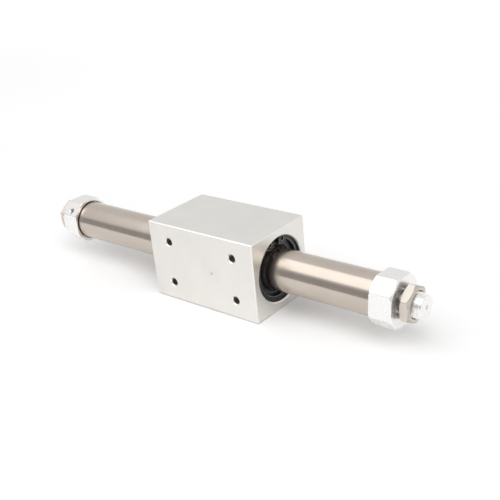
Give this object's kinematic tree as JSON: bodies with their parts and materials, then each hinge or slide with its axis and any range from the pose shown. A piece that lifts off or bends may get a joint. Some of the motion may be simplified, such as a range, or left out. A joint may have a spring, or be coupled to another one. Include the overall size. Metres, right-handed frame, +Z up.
{
  "type": "rodless pneumatic cylinder",
  "caption": "Magnetically coupled rodless pneumatic cylinder: a square slider block runs along a steel tube between octagonal head covers with threaded noses.",
  "frame": {"origin": "under the middle of the cylinder's length, at the height of the slider's bottom face", "axes": "+X along the tube towards the right head cover, +Z up, the slider's mounting face looks towards -Y"},
  "size_m": [0.202, 0.035, 0.035],
  "materials": {
    "slider_aluminium": "satin silver anodised",
    "cover_aluminium": "bright turned and milled",
    "tube_steel": "ground stainless",
    "nut_nickel": "nickel plated",
    "shaft_steel": "ground",
    "piston_aluminium": "turned",
    "magnet_nickel": "nickel coated",
    "yoke_steel": "zinc plated",
    "black_rubber": "moulded nitrile",
    "bumper_urethane": "moulded urethane",
    "guide_resin": "filled guide resin",
    "holder_plastic": "turned black acetal",
    "circlip_steel": "black phosphated spring steel"
  },
  "bodies": {
    "cylinder": {"cylinder_tube": "tube_steel", "head_cover_left": "cover_aluminium", "head_cover_right": "cover_aluminium", "mounting_nut_left": "nut_nickel", "mounting_nut_right": "nut_nickel", "tube_seal_left": "black_rubber", "tube_seal_right": "black_rubber", "bumper_left": "bumper_urethane", "bumper_right": "bumper_urethane"},
    "piston": {"piston_shaft": "shaft_steel", "piston_left": "piston_aluminium", "piston_right": "piston_aluminium", "piston_seal_left": "black_rubber", "piston_seal_right": "black_rubber", "piston_wear_ring_left": "guide_resin", "piston_wear_ring_right": "guide_resin", "piston_magnet_1": "magnet_nickel", "piston_magnet_2": "magnet_nickel", "piston_magnet_3": "magnet_nickel", "piston_magnet_4": "magnet_nickel", "piston_yoke_1": "yoke_steel", "piston_yoke_2": "yoke_steel", "piston_yoke_3": "yoke_steel", "piston_yoke_4": "yoke_steel", "piston_yoke_5": "yoke_steel"},
    "slider": {"slider_body": "slider_aluminium", "slider_magnet_1": "magnet_nickel", "slider_magnet_2": "magnet_nickel", "slider_magnet_3": "magnet_nickel", "slider_magnet_4": "magnet_nickel", "slider_yoke_1": "yoke_steel", "slider_yoke_2": "yoke_steel", "slider_yoke_3": "yoke_steel", "slider_yoke_4": "yoke_steel", "slider_yoke_5": "yoke_steel", "slider_wear_ring_left": "guide_resin", "slider_wear_ring_right": "guide_resin", "scraper_left": "black_rubber", "scraper_right": "black_rubber", "scraper_holder_left": "holder_plastic", "scraper_holder_right": "holder_plastic", "circlip_left": "circlip_steel", "circlip_right": "circlip_steel"}
  },
  "joints": [
    {"name": "piston_slide", "type": "slide", "parent": "cylinder", "child": "piston", "axis": [1, 0, 0], "range_m": [-0.0562, 0.0438]},
    {"name": "slider_spin", "type": "hinge", "parent": "piston", "child": "slider", "pos_m": [0.0062, 0, 0.0175], "axis": [1, 0, 0], "continuous": true}
  ]
}
